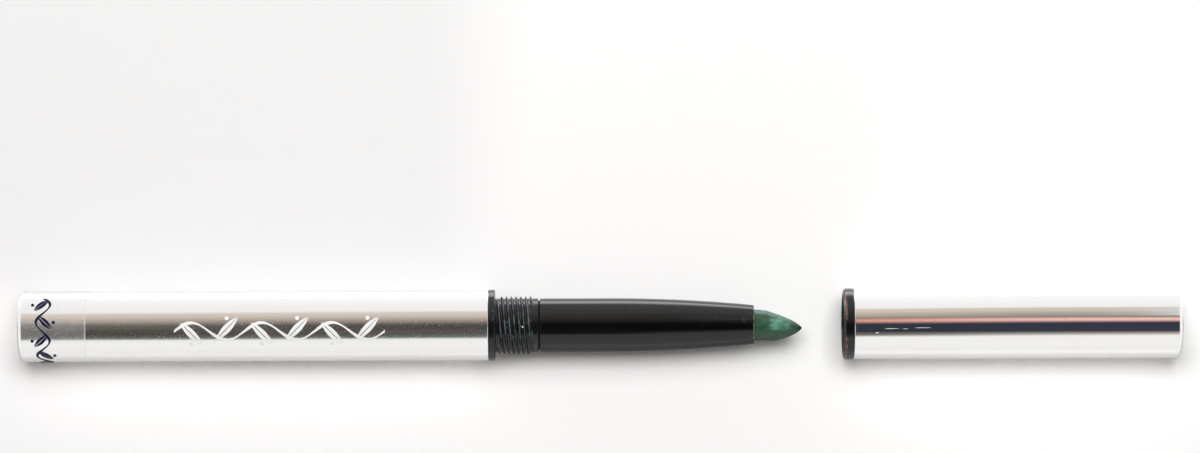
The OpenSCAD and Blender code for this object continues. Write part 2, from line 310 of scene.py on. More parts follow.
@dataclass(frozen=True)
class Mark:
    """A small worn or soiled spot: its place along and round the pen, its length and width."""

    along: float
    angle: float
    length: float
    width: float

    def mask(self, skin: Skin, radius: float) -> Signal:
        """Covers the spot, ragged by noise.

        It ends where du^2 + dv^2 + 1.6 noise goes from 0.9 to 1.7, for distances du and dv from its
        middle in halves of its length and width.

        Args:
            skin: the material that it is drawn in.
            radius: the radius of the piece.

        Returns:
            1 in the middle of the spot and 0 outside it.
        """
        ragged = skin.noise(0.5, 4.0, 3.0)
        du = (skin.along - self.along) / (self.length / 2)
        dv = (skin.angle - self.angle) * (math.radians(radius) / (self.width / 2))
        return (du * du + dv * dv + ragged * 1.6).rise(1.7, 0.9)


@dataclass(frozen=True)
class Sprig:
    """A printed leaf sprig: a waving stem with pointed leaves by turns on either side, and buds.

    The stem is the line v = swing times sin(2 pi u / wave), for u along the sprig and v across. Its
    thickness swells and shrinks by the share swell, twice a wave. A leaf is the lens
    |q| < half_width (1 - (2 p / leaf)^2) on axes p and q that slant from the stem, but for a bare
    vein. A leaf's middle lies at the share lean of the swing, and a bud's stands off the crest by
    stand times its radius.
    """

    wave: float
    swing: float
    stem: float
    leaf: float
    half_width: float
    bud: float
    slant: float = 46.0
    swell: float = 0.35
    lean: float = 0.3
    vein: float = 0.1
    stand: float = 2.4

    def mask(self, u: Signal, v: Signal, soft: float = 0.03) -> Signal:
        """Covers the print.

        Args:
            u: places along the sprig, in millimetres.
            v: places across it.
            soft: half the width of the print's soft edge.

        Returns:
            1 on the print and 0 beside it.
        """
        half = self.wave / 2
        stem_line = (u * (2 * math.pi / self.wave)).sine() * self.swing
        thick = (u * (2 * math.pi / half)).sine() * self.swell + 1
        off_stem = (v - stem_line).abs() - thick * self.stem
        side = (u / half).wrap(0, 2).rise(0.999, 1.001) * 2 - 1
        over = v * side
        p0 = (u - half / 2).wrap(-half / 2, half / 2)
        q0 = over - self.swing * self.lean
        cos, sin = math.cos(math.radians(self.slant)), math.sin(math.radians(self.slant))
        p = p0 * cos + q0 * sin
        q = (q0 * cos - p0 * sin).abs()
        ends = 1 - (p * p) / (self.leaf / 2) ** 2
        off_leaf = (q - ends * self.half_width).highest(self.half_width * self.vein - q)
        from_bud = over - (self.swing + self.bud * self.stand)
        off_bud = (p0 * p0 + from_bud * from_bud) / (2 * self.bud) - self.bud / 2
        return off_stem.lowest(off_leaf).lowest(off_bud).rise(soft, -soft)


@dataclass(frozen=True)
class Finish:
    """The look of a surface, which becomes one material."""

    name: str

    def dress(self) -> bpy.types.Material:
        """Builds the material."""
        raise NotImplementedError


@dataclass(frozen=True)
class BrightMetal(Finish):
    """Bright drawn metal, clear-lacquered, with fine specks of dust, worn marks and a print."""

    tint: Colour
    roughness: float
    haze: float
    radius: float
    marks: tuple[Mark, ...] = ()
    worn_tint: Colour = (0.93, 0.92, 0.88)
    sprig: Sprig | None = None
    print_from: float = 0.0
    print_to: float = 0.0
    print_angle: float = 0.0
    print_rows: int = 3
    print_tint: Colour = (0.9, 0.9, 0.9)

    def dress(self) -> bpy.types.Material:
        """Builds the material.

        Returns:
            The material.
        """
        skin = Skin(self.name)
        specks = skin.noise(0.16, 3.0, 1.6).rise(0.56, 0.72)
        clouds = skin.noise(3.0, 2.0, 4.0) - 0.5
        roughness = self.roughness + specks * self.haze + clouds * (self.roughness * 0.6)
        colour, metallic = self.tint, 1.0
        if self.marks:
            worn = reduce(Signal.highest, (mark.mask(skin, self.radius) for mark in self.marks))
            roughness = roughness + worn * 0.5
            colour = skin.mix(worn, colour, self.worn_tint)
            metallic = 1 - worn * 0.75
        if self.sprig:
            ink = self._print(skin)
            colour = skin.mix(ink, colour, self.print_tint)
            roughness = roughness + ink * 0.35
            metallic = (1 - ink) * metallic
        ripples = skin.noise(0.9, 2.0, 12.0)
        return skin.finish({
            "Base Color": colour,
            "Metallic": metallic,
            "Roughness": roughness,
            "Normal": skin.bump(ripples, 0.0012),
        })

    def _print(self, skin: Skin) -> Signal:
        """Covers the rows of sprigs round the tube.

        Args:
            skin: the material that they are drawn in.

        Returns:
            1 on the print and 0 beside it.
        """
        step = 360 / self.print_rows
        turn = (skin.angle - self.print_angle).wrap(-step / 2, step / 2)
        u = skin.along - self.print_from
        length = self.print_to - self.print_from
        inside = u.rise(0, 0.05) * u.rise(length, length - 0.05)
        return self.sprig.mask(u, turn * math.radians(self.radius)) * inside


@dataclass(frozen=True)
class ClearFilm(Finish):
    """Clear printed film: a thin veil with a brighter cut edge, and a sprig round the tube."""

    radius: float
    sprig: Sprig
    print_along: float
    print_start: float
    print_sweep: float
    edge: float
    edge_width: float = 0.13
    veil: float = 0.035
    tint: Colour = (0.85, 0.86, 0.88)
    ink_tint: Colour = (0.003, 0.004, 0.03)

    def dress(self) -> bpy.types.Material:
        """Builds the material.

        Returns:
            The material.
        """
        skin = Skin(self.name)
        down = (self.print_start - skin.angle).wrap(0, 360)
        shown = down.rise(self.print_sweep, self.print_sweep - 0.5)
        u, v = down * math.radians(self.radius), skin.along - self.print_along
        ink = self.sprig.mask(u, v, 0.02) * shown
        rim = (skin.along - self.edge).abs().rise(self.edge_width, self.edge_width * 0.5)
        dust = skin.noise(0.2, 4.0).rise(0.6, 0.75)
        veil = dust * 0.1 + self.veil
        return skin.finish({
            "Base Color": skin.mix(ink, self.tint, self.ink_tint),
            "Roughness": 0.32,
            "Specular IOR Level": 0.2,
            "Alpha": ink.highest(veil).highest(rim * 0.35),
        })


@dataclass(frozen=True)
class Ring:
    """A thin ragged ring of another colour: the stretch of the pen and of its round where it lies.
    """

    start: float
    end: float
    from_angle: float
    to_angle: float
    colour: Colour

    def mask(self, skin: Skin) -> Signal:
        """Covers the ring.

        Args:
            skin: the material that it is drawn in.

        Returns:
            1 on the ring and 0 beside it.
        """
        ragged = skin.noise(1.1, 4.0, 0.5).rise(0.36, 0.56)
        along = skin.along.between(self.start, self.end, 0.06)
        return along * skin.angle.between(self.from_angle, self.to_angle, 6.0) * ragged


@dataclass(frozen=True)
class DarkPlastic(Finish):
    """Moulded black plastic: smears of kohl, dust, ragged tinted rings, a dull lip, and a painted
    highlight on the upper thread crests.

    Where rubbed_beyond is set, what lies beyond that radius on the upper side gets a
    painted highlight, but for a flange beyond flange_r. The dull lip starts at dull_from, which by
    default lies past the pen's end.
    """

    colour: Colour
    roughness: float
    smear: float
    smear_grain: float
    bump: float
    radius: float = 4.5
    marks: tuple[Mark, ...] = ()
    rings: tuple[Ring, ...] = ()
    rubbed_beyond: float = 0.0
    rubbed_angles: tuple[float, float] = (-22.0, 40.0)
    flange_r: float = 4.7
    dull_from: float = 1000.0
    smear_tint: Colour = (0.05, 0.2, 0.145)
    cloud_tint: Colour = (0.035, 0.04, 0.05)
    rubbed_tint: Colour = (0.085, 0.092, 0.11)
    mark_tint: Colour = (0.85, 0.83, 0.72)

    def dress(self) -> bpy.types.Material:
        """Builds the material.

        Returns:
            The material.
        """
        skin = Skin(self.name)
        patches = skin.noise(self.smear_grain, 4.0, 0.35)
        greasy = patches.rise(0.62, 0.78) * self.smear
        colour = skin.mix(greasy, self.colour, self.smear_tint)
        colour = skin.mix(patches.rise(0.35, 0.2) * 0.5, colour, self.cloud_tint)
        # Painted highlight: the thread crests on the upper side are paled to a bluish grey.
        if self.rubbed_beyond:
            crests = skin.outside(self.rubbed_beyond - 0.1, self.rubbed_beyond)
            flange = skin.outside(self.flange_r, self.flange_r + 0.1)
            uppermost = skin.angle.between(*self.rubbed_angles, 14.0)
            crest_highlight = skin.noise(2.2, 3.0).rise(0.35, 0.62) * uppermost
            colour = skin.mix(crests * (1 - flange) * crest_highlight, colour, self.rubbed_tint)
        for ring in self.rings:
            colour = skin.mix(ring.mask(skin), colour, ring.colour)
        for mark in self.marks:
            colour = skin.mix(mark.mask(skin, self.radius), colour, self.mark_tint)
        clouds = skin.noise(1.2, 3.0, 2.0) - 0.5
        dull = skin.along.rise(self.dull_from, self.dull_from + 0.01)
        return skin.finish({
            "Base Color": colour,
            "Roughness": self.roughness + clouds * 0.12 + greasy * 0.2 + dull * 0.7,
            "Normal": skin.bump(skin.noise(0.25, 3.0), self.bump),
        })


@dataclass(frozen=True)
class WaxyKohl(Finish):
    """Pressed kohl: dark green wax with paler scrapes, fine grains and a dull sheen.

    Its palest patch, scraping with a painted highlight over it, lies at the distances facet from
    the tip, within facet_angles. A painted sheen makes its upper side paler.
    """

    tip_along: float
    facet: tuple[float, float] = (2.6, 4.4)
    facet_angles: tuple[float, float] = (-14.0, 36.0)
    deep: Colour = (0.01, 0.039, 0.018)
    green: Colour = (0.026, 0.083, 0.043)
    pale: Colour = (0.125, 0.325, 0.25)
    grain: Colour = (0.12, 0.06, 0.03)
    point: Colour = (0.012, 0.018, 0.01)

    def dress(self) -> bpy.types.Material:
        """Builds the material.

        Returns:
            The material.
        """
        skin = Skin(self.name)
        from_tip = self.tip_along - skin.along
        patches = skin.noise(0.75, 5.0, 1.5)
        streaks = skin.noise(0.2, 4.0, 6.0)
        grains = skin.noise(0.1, 3.0)
        # Painted light: the patch near the tip is scraped wax with a painted highlight over it, and
        # the upper side is paled by a painted sheen.
        facet = from_tip.between(*self.facet, 1.2) * skin.angle.between(*self.facet_angles, 26.0)
        scraped_and_highlight = (patches.rise(0.3, 0.72) * 0.7 + 0.2) * facet + streaks.rise(0.56, 0.76) * 0.2
        painted_sheen = skin.angle.rise(32.0, 60.0) * 0.4
        clouds = patches.rise(0.36, 0.62) * 0.7 + grains.rise(0.45, 0.7) * 0.3
        specks = grains.rise(0.66, 0.74) * patches.rise(0.52, 0.44) * 0.5
        colour = skin.mix(clouds, self.deep, self.green)
        colour = skin.mix(scraped_and_highlight + painted_sheen, colour, self.pale)
        colour = skin.mix(specks, colour, self.grain)
        colour = skin.mix(from_tip.rise(0.9, 0.1) * 0.85, colour, self.point)
        relief = patches * 0.6 + streaks * 0.3 + grains * 0.25
        return skin.finish({
            "Base Color": colour,
            "Roughness": 0.28 + patches * 0.2,
            "Normal": skin.bump(relief, 0.03),
        })


@dataclass(frozen=True)
class PlainPlastic(Finish):
    """Natural or dyed plastic or rubber of an inner part, faintly clouded and grained."""

    colour: Colour = (0.78, 0.77, 0.72)
    shade: Colour = (0.7, 0.68, 0.62)
    roughness: float = 0.45

    def dress(self) -> bpy.types.Material:
        """Builds the material.

        Returns:
            The material.
        """
        skin = Skin(self.name)
        clouds = skin.noise(1.5, 3.0)
        return skin.finish({
            "Base Color": skin.mix(clouds, self.colour, self.shade),
            "Roughness": self.roughness + (clouds - 0.5) * 0.15,
            "Normal": skin.bump(skin.noise(0.3, 2.0), 0.004),
        })


@dataclass(frozen=True)
class DrawnWire(Finish):
    """Hard-drawn spring wire, with fine lines along it."""

    colour: Colour
    roughness: float

    def dress(self) -> bpy.types.Material:
        """Builds the material.

        Returns:
            The material.
        """
        skin = Skin(self.name)
        lines = skin.noise(0.08, 2.0, 0.3)
        return skin.finish({
            "Base Color": self.colour,
            "Metallic": 1.0,
            "Roughness": self.roughness + (lines - 0.5) * 0.2,
            "Normal": skin.bump(lines, 0.003),
        })


def rounded(corners: list[tuple[float, float, float]], closed: bool) -> np.ndarray:
    """Rounds the corners of an outline.

    A corner becomes an arc that touches both of its sides. A point a little way off on each side
    keeps the shading of the flat sides flat. A corner of radius 0 stays a point of a curve.

    Args:
        corners: place along the pen, distance from the axis and radius of each corner.
        closed: whether the outline runs round, rather than from one end to another.

    Returns:
        The outline as rows of place and distance.
    """
    arc_steps, guard, most = 6, 0.35, 0.45
    places = np.array([corner[:2] for corner in corners], float)
    count = len(corners)
    rows = []
    for i, (_, _, radius) in enumerate(corners):
        here = places[i]
        if radius == 0 or (not closed and i in (0, count - 1)):
            rows.append(here[None])
            continue
        back, forth = places[i - 1] - here, places[(i + 1) % count] - here
        back_len, forth_len = np.hypot(*back), np.hypot(*forth)
        back, forth = back / back_len, forth / forth_len
        half = math.acos(np.clip(back @ forth, -1, 1)) / 2
        reach = min(radius / math.tan(half), most * back_len, most * forth_len)
        centre = here + (back + forth) / np.hypot(*(back + forth)) * reach / math.cos(half)
        first, last = here + back * reach, here + forth * reach
        turn = np.linspace(0, 1, arc_steps + 1)[:, None]
        a, b = first - centre, last - centre
        angle = math.acos(np.clip(a @ b / (np.hypot(*a) * np.hypot(*b)), -1, 1))
        weights = np.sin((1 - turn) * angle) * a + np.sin(turn * angle) * b
        support = guard * min(reach, radius)
        rows += [
            first[None] + back * support, centre + weights / math.sin(angle),
            last[None] + forth * support,
        ]
    return np.concatenate(rows)


def band(lower: np.ndarray, upper: np.ndarray) -> np.ndarray:
    """Returns the quads between rings of point numbers and the next rings, one to a row."""
    corners = [lower, np.roll(lower, -1, axis=1), np.roll(upper, -1, axis=1), upper]
    return np.stack(corners, axis=-1).reshape(-1, 4)


def fans(first: int, last: int, index: np.ndarray) -> list[np.ndarray]:
    """Closes the two ends of a tube.

    Args:
        first: the number of the point in the middle of the first ring.
        last: that of the last ring.
        index: the numbers of the tube's points, a ring to a row.

    Returns:
        The triangles of either end.
    """
    head, tail = index[0], index[-1]
    return [
        np.stack([np.full_like(head, first), np.roll(head, -1), head], axis=-1),
        np.stack([np.full_like(tail, last), tail, np.roll(tail, -1)], axis=-1),
    ]


def turned(
    name: str, along: np.ndarray, radius: np.ndarray, side: Side,
    sway: np.ndarray | None = None, columns: int = 256,
) -> bpy.types.Object:
    """Makes a piece by turning an outline round the pen's axis.

    Row i of the surface is the circle of radius[i] at along[i], and the radius may also vary round
    the axis. Rows at radius 0 at the two ends of a solid become one point each.

    Args:
        name: the piece's name.
        along: places along the pen, one a row.
        radius: distances from the axis, one a row, or one a row and column.
        side: RING for an outline that closes on itself, SOLID for one from pole to pole.
        sway: sideways shift of each row towards +Y, in millimetres.
        columns: points round the axis.

    Returns:
        The piece, with its faces outwards.
    """
    angle = np.linspace(0, 2 * math.pi, columns, endpoint=False)[None, :]
    radius = radius[:, None] if radius.ndim == 1 else radius
    grid = lie.place(along[:, None], radius, angle)
    if sway is not None:
        grid[..., 1] += sway[:, None] * MM
    rows = len(grid)
    ring = side is Side.RING
    x, r = grid[:, 0, 0], np.hypot(grid[:, 0, 1], grid[:, 0, 2] - lie.axis_z)
    steps = rows if ring else rows - 1
    swept = np.roll(x, -1)[:steps] - x[:steps]
    outwards = np.sum(swept * (np.roll(r, -1)[:steps] + r[:steps]) ** 2) > 0
    if ring:
        points = grid.reshape(-1, 3)
        index = np.arange(rows * columns).reshape(rows, columns)
        faces = [band(index, np.roll(index, -1, axis=0))]
    else:
        points = np.concatenate([grid[:1, 0], grid[1:-1].reshape(-1, 3), grid[-1:, 0]])
        index = np.arange(1, (rows - 2) * columns + 1).reshape(rows - 2, columns)
        faces = [band(index[:-1], index[1:]), *fans(0, len(points) - 1, index)]
    return meshed(name, points, faces, flip=not outwards)


def coil(
    name: str, start: float, end: float, radius: float, wire: float, turns: int,
) -> bpy.types.Object:
    """Makes a helical spring.

    The wire's centre is at radius, at the angle 2 pi turns t and the place start + (end - start) t,
    and its skin is a circle of the wire's radius about it, in the plane of the axis.

    Args:
        name: the piece's name.
        start: the place of the first end of the wire's centre.
        end: the place of its last end.
        radius: the distance of the wire's centre from the axis.
        wire: the wire's radius.
        turns: how many turns it has.

    Returns:
        The piece, with its faces outwards.
    """
    steps, sides = turns * 48, 14
    t = np.linspace(0, 1, steps + 1)[:, None]
    q = np.linspace(0, 2 * math.pi, sides, endpoint=False)[None, :]
    centre, angle = start + (end - start) * t, 2 * math.pi * turns * t
    points = lie.place(centre + wire * np.sin(q), radius + wire * np.cos(q), angle).reshape(-1, 3)
    index = np.arange((steps + 1) * sides).reshape(steps + 1, sides)
    middles = np.stack([points[index[0]].mean(axis=0), points[index[-1]].mean(axis=0)])
    faces = [band(index[:-1], index[1:]), *fans(len(points), len(points) + 1, index)]
    return meshed(name, np.concatenate([points, middles]), faces, flip=True)


def placed(name: str, data: bpy.types.ID) -> bpy.types.Object:
    """Makes an object from its data and links it to the scene.

    Args:
        name: the object's name.
        data: its mesh, lamp or camera.

    Returns:
        The object.
    """
    made = bpy.data.objects.new(name, data)
    bpy.context.scene.collection.objects.link(made)
    return made


def meshed(name: str, points: np.ndarray, faces: list[np.ndarray], flip: bool) -> bpy.types.Object:
    """Puts points and faces into a smooth-shaded mesh object at the origin.

    Args:
        name: the object's name.
        points: one row for each point, in metres.
        faces: arrays of faces, each with its own number of corners.
        flip: whether the corners are listed the wrong way round.

    Returns:
        The object.
    """
    mesh = bpy.data.meshes.new(name)
    corners = np.concatenate([(f[:, ::-1] if flip else f).ravel() for f in faces])
    sizes = np.concatenate([np.full(len(f), f.shape[1]) for f in faces])
    starts = np.concatenate([[0], np.cumsum(sizes)[:-1]])
    mesh.vertices.add(len(points))
    mesh.vertices.foreach_set("co", points.astype(np.float32).ravel())
    mesh.loops.add(len(corners))
    mesh.loops.foreach_set("vertex_index", corners.astype(np.int32))
    mesh.polygons.add(len(sizes))
    mesh.polygons.foreach_set("loop_start", starts.astype(np.int32))
    mesh.update(calc_edges=True)
    mesh.validate()
    mesh.shade_smooth()
    return placed(name, mesh)


def wear(piece: bpy.types.Object, material: bpy.types.Material) -> None:
    """Gives a piece one material all over."""
    piece.data.materials.clear()
    piece.data.materials.append(material)


def install(piece: bpy.types.Object, node: str, body: str, finish: Finish) -> None:
    """Lets a piece stand for a CAD node, and reports it.

    Args:
        piece: the piece.
        node: the node that it replaces.
        body: the body that it rides on.
        finish: its finish.
    """
    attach(piece, body)
    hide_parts(node)
    wear(piece, finish.dress())
    log.info("%s: %d faces, stands for %s on %s", piece.name, len(piece.data.polygons), node, body)


def redress(node: str, finish: Finish) -> None:
    """Gives a CAD node that stays in view its finish, and reports it."""
    wear(frame["nodes"][node], finish.dress())
    log.info("%s keeps its own shape", node)


@dataclass(frozen=True)
class Thread:
    """A right-handed thread of several starts as a height over a cylinder.

    A ridge's centre lies at offset - lead times angle / 360, and again at each whole pitch. The
    height is 1 on the crest and falls along the flanks to 0, mixed from a smooth step and a
    straight line. It grows from a stub where the centre passes either end, over a twelfth of a
    turn.
    """

    start: float
    end: float
    offset: float
    wall_r: float
    crest_r: float
    crest_w: float
    pitch: float = 0.754
    starts: int = 3
    flank: float = 0.5
    smooth: float = 0.6
    stub: float = 0.15
    rows_a_pitch: int = 20
    columns: int = 240

    def rows(self) -> np.ndarray:
        """Returns the places along the pen of the rows that draw the thread."""
        margin = self.pitch * 0.5
        count = int((self.end - self.start + 2 * margin) / self.pitch * self.rows_a_pitch)
        return np.linspace(self.start - margin, self.end + margin, count)

    def radii(self, along: np.ndarray) -> np.ndarray:
        """Works out the surface.

        Args:
            along: places along the pen.

        Returns:
            The radius at each place and each column's angle.
        """
        angle = np.linspace(0, 1, self.columns, endpoint=False)[None, :]
        first = self.offset - self.pitch * self.starts * angle
        steps = np.round((along[:, None] - first) / self.pitch)
        centre = first + steps * self.pitch
        away = np.abs(along[:, None] - centre)
        rise = self.crest_r - self.wall_r
        flank = self.flank * abs(rise)
        height = np.clip((self.crest_w / 2 + flank - away) / flank, 0, 1)
        step = height * height * (3 - 2 * height)
        height = step * self.smooth + height * (1 - self.smooth)
        run_out = self.pitch * self.starts / 12
        from_end = np.minimum(centre - self.start, self.end - centre)
        return self.wall_r + rise * height * np.clip(from_end / run_out + self.stub, 0, 1)

    def splice(self, before: np.ndarray, after: np.ndarray) -> tuple[np.ndarray, np.ndarray]:
        """Puts the thread's rows between two stretches of an outline.

        Args:
            before: rows of place and distance before the thread.
            after: those after it.

        Returns:
            Places and radii of all rows, the radii with a column for each angle.
        """
        along = self.rows()
        if before[-1, 0] > after[0, 0]:
            along = along[::-1]
        plain = [np.repeat(part[:, 1:], self.columns, axis=1) for part in (before, after)]
        radius = np.concatenate([plain[0], self.radii(along), plain[1]])
        return np.concatenate([before[:, 0], along, after[:, 0]]), radius


@dataclass
class Barrel:
    """The metal barrel with its base film, the threaded neck and the parts inside it."""

    length: float = 73.7
    radius: float = 5.6
    wall: float = 0.5
    end_wall: float = 0.6
    base_round: float = 0.75
    mouth_round: float = 0.14
    film_from: float = 0.6
    film_to: float = 10.75
    film_t: float = 0.08
    film_gap: float = 0.012
    seat: float = 74.7
    spigot_end: float = 66.7
    spigot_r: float = 5.08
    ring_seat_end: float = 68.74
    ring_seat_r: float = 4.44
    bore_r: float = 3.57
    neck_end: float = 81.5
    lip_end: float = 81.78
    lip_r: float = 3.85
    lip_round: float = 0.012
    thread: Thread = field(
        default_factory=lambda: Thread(75.15, 80.55, 75.527, 4.19, 4.53, crest_w=0.14))

    def build(self) -> None:
        """Builds the pieces of the barrel."""
        self.tube()
        self.film()
        self.neck()
        redress("spiral_sleeve", PlainPlastic("natural_plastic"))
        rubber = PlainPlastic("soft_rubber", (0.03, 0.03, 0.032), (0.045, 0.045, 0.05), 0.75)
        redress("friction_ring", rubber)

    def tube(self) -> None:
        """Builds the drawn tube with its closed base and rolled mouth."""
        inner = self.radius - self.wall
        outline = rounded([
            (0, 0, 0), (0, self.radius, self.base_round),
            (self.length, self.radius, self.mouth_round), (self.length, inner, 0.08),
            (self.end_wall, inner, 0.3), (self.end_wall, 0, 0),
        ], closed=False)
        finish = BrightMetal(
            "barrel_metal", (0.955, 0.95, 0.945), 0.13, 0.22, self.radius,
            print_from=24.6, print_to=57.6, print_angle=-10.6,
            sprig=Sprig(wave=11.0, swing=1.35, stem=0.21, leaf=5.2, half_width=0.62, bud=0.3),
        )
        piece = turned("barrel_tube_smooth", *outline.T, Side.SOLID)
        install(piece, "barrel_tube", "barrel", finish)

    def film(self) -> None:
        """Builds the clear film round the base end."""
        inner, outer, corner = self.radius + self.film_gap, self.radius + self.film_t, 0.02
        outline = rounded([
            (self.film_from, inner, corner), (self.film_from, outer, corner),
            (self.film_to, outer, corner), (self.film_to, inner, corner),
        ], closed=True)
        finish = ClearFilm(
            "clear_film", outer,
            Sprig(wave=6.0, swing=1.05, stem=0.19, leaf=3.1, half_width=0.5, bud=0.26),
            print_along=4.1, print_start=50.0, print_sweep=215.0, edge=self.film_to,
        )
        piece = turned("base_film", *outline.T, Side.RING)
        install(piece, "base_label", "barrel", finish)

    def neck(self) -> None:
        """Builds the neck with its flange, thread, bearing lip and spigot."""
        root, sharp = self.thread.wall_r, self.lip_round
        behind = rounded([
            (self.ring_seat_end, self.bore_r, 0.03), (self.ring_seat_end, self.ring_seat_r, 0.03),
            (self.spigot_end, self.ring_seat_r, 0.06), (self.spigot_end, self.spigot_r, 0.12),
            (self.length, self.spigot_r, 0.03), (self.length, self.radius, 0.07),
            (self.seat, self.radius, 0.12), (self.seat, root, 0.08), (self.seat + 0.2, root, 0),
        ], closed=False)
        front = rounded([
            (self.neck_end - 0.5, root, 0), (self.neck_end, root, sharp),
            (self.neck_end, self.lip_r, sharp), (self.lip_end, self.lip_r, sharp),
            (self.lip_end, self.bore_r, 0.04), (self.lip_end - 0.4, self.bore_r, 0),
        ], closed=False)
        along, radius = self.thread.splice(behind, front)
        finish = DarkPlastic(
            "neck_plastic", (0.003, 0.0035, 0.004), 0.16, smear=0.8, smear_grain=1.3, bump=0.006,
            marks=(Mark(79.1, -6.0, 0.5, 0.35),), rubbed_beyond=4.46, dull_from=self.neck_end,
        )
        piece = turned("neck_threaded", along, radius, Side.RING, columns=self.thread.columns)
        install(piece, "neck_collar", "barrel", finish)


@dataclass
class Nose:
    """The nose sleeve that is turned, and the guide tube in it."""

    start: float = 81.8
    end: float = 115.4
    rear_r: float = 4.2
    front_r: float = 3.05
    straight: float = 10.5
    edge: float = 0.22
    mouth_r: float = 2.6
    mouth_depth: float = 7.75
    cone: float = 1.2
    chamber_r: float = 2.95
    tube_seat: float = 99.87
    tube_seat_r: float = 3.52

    def bend(self, along: np.ndarray) -> np.ndarray:
        """Works out the taper: a circle's arc that leaves the straight part without a kink.

        Args:
            along: places along the pen.

        Returns:
            The sleeve's radius there.
        """
        drop, run = self.rear_r - self.front_r, self.end - self.start - self.straight
        bend_r = (run * run + drop * drop) / (2 * drop)
        past = along - self.start - self.straight
        return self.rear_r - bend_r + np.sqrt(bend_r ** 2 - past ** 2)

    def build(self) -> None:
        """Builds the pieces of the nose."""
        guard, cone_from = 0.6, self.end - self.mouth_depth
        curve = np.linspace(self.start + self.straight, self.end - guard, 40)
        taper = [(x, r, 0.0) for x, r in zip(curve.tolist(), self.bend(curve).tolist())]
        outline = rounded([
            (self.start, self.rear_r, 0.012), (self.start + guard, self.rear_r, 0), *taper,
            (self.end, self.front_r, self.edge), (self.end, self.mouth_r, 0.1),
            (cone_from, self.mouth_r, 0.05), (cone_from - self.cone, self.chamber_r, 0.05),
            (self.tube_seat, self.chamber_r, 0.03), (self.tube_seat, self.tube_seat_r, 0.03),
            (self.start, self.tube_seat_r, 0.04),
        ], closed=True)
        # Kohl left on the front rim of the nose.
        residue = Ring(self.end - 0.12, self.end + 0.1, -75.0, 60.0, (0.13, 0.17, 0.105))
        finish = DarkPlastic(
            "nose_plastic", (0.0015, 0.0015, 0.0015), 0.12, smear=0.0, smear_grain=2.5, bump=0.006,
            rings=(residue,),
        )
        piece = turned("nose_sleeve_smooth", *outline.T, Side.RING, columns=224)
        install(piece, "nose_sleeve", "nose", finish)
        redress("guide_tube", PlainPlastic("guide_plastic", roughness=0.42))


@dataclass
class KohlFeed:
    """The kohl stick and the carrier that pushes it."""

    start: float = 86.95
    tip: float = 122.95
    radius: float = 2.48
    point: float = 7.2
    blunt: float = 0.75
    chamfer: float = 0.05
    waviness: float = 0.022
    mouth: float = 115.4
    bore: float = 2.6
    droop_mouth: float = 0.11
    droop_tip: float = 0.6
    columns: int = 160
    seed: int = 7

    def build(self) -> None:
        """Builds the stick and dresses the carrier."""
        along, radius = self.worn()
        sway = self.sway(along, radius.max(axis=1))
        piece = turned("kohl_stick_worn", along, radius, Side.SOLID, sway, self.columns)
        install(piece, "kohl_stick", "kohl_feed", WaxyKohl("kohl_wax", self.tip))
        redress("carrier", PlainPlastic("carrier_plastic"))

    def worn(self) -> tuple[np.ndarray, np.ndarray]:
        """Works out the stick's surface, a little uneven from use.

        The point's radius at a distance t from the tip is radius (1 - (1 - t / point)^2)^blunt.
        Over it lie a few shallow waves: sines of the angle and of the place with seeded strengths.

        Returns:
            The places of the rows, and the radii with a column for each angle.
        """
        t = self.point * np.linspace(0, 1, 70) ** 2
        profile = self.radius * (1 - (1 - t / self.point) ** 2) ** self.blunt
        shaft = np.linspace(self.tip - self.point, self.start + 0.2, 40)[1:]
        rear, rear_radii = [self.chamfer, 0, 0], [self.radius, self.radius - self.chamfer, 0]
        along = np.concatenate([self.tip - t, shaft, self.start + np.array(rear)])
        radius = np.concatenate([profile, np.full(len(shaft), self.radius), rear_radii])
        random = np.random.default_rng(self.seed)
        angle = np.linspace(0, 2 * math.pi, self.columns, endpoint=False)[None, :]
        waves = np.zeros((len(along), self.columns))
        for turns in range(2, 8):
            strength = random.uniform(0.3, 1) / turns
            phase, twist = random.uniform(0, 2 * math.pi, 2)
            wind = along[:, None] * (0.5 + 0.12 * twist)
            waves += strength * np.sin(turns * angle + phase + wind)
        from_tip = self.tip - along
        uneven = np.clip(from_tip / 1.5, 0, 1) * np.clip((self.point + 1 - from_tip) / 2, 0, 1)
        return along, radius[:, None] * (1 - self.waviness * (1 + waves) * uneven[:, None])

    def sway(self, along: np.ndarray, widest: np.ndarray) -> np.ndarray:
        """Works out how far the stick leans, within the room that the bore of the nose leaves.

        Args:
            along: places along the pen.
            widest: the stick's largest radius at each.

        Returns:
            The sideways shift of each row towards +Y.
        """
        out = np.sin(math.pi / 2 * np.clip((along - self.mouth) / (self.tip - self.mouth), 0, 1))
        inside = np.clip((along - self.start) / (self.mouth - self.start), 0, 1)
        droop = self.droop_mouth * inside + (self.droop_tip - self.droop_mouth) * out
        room = self.bore - 0.02 - widest
        return -np.minimum(droop, np.maximum(room, 0.0))


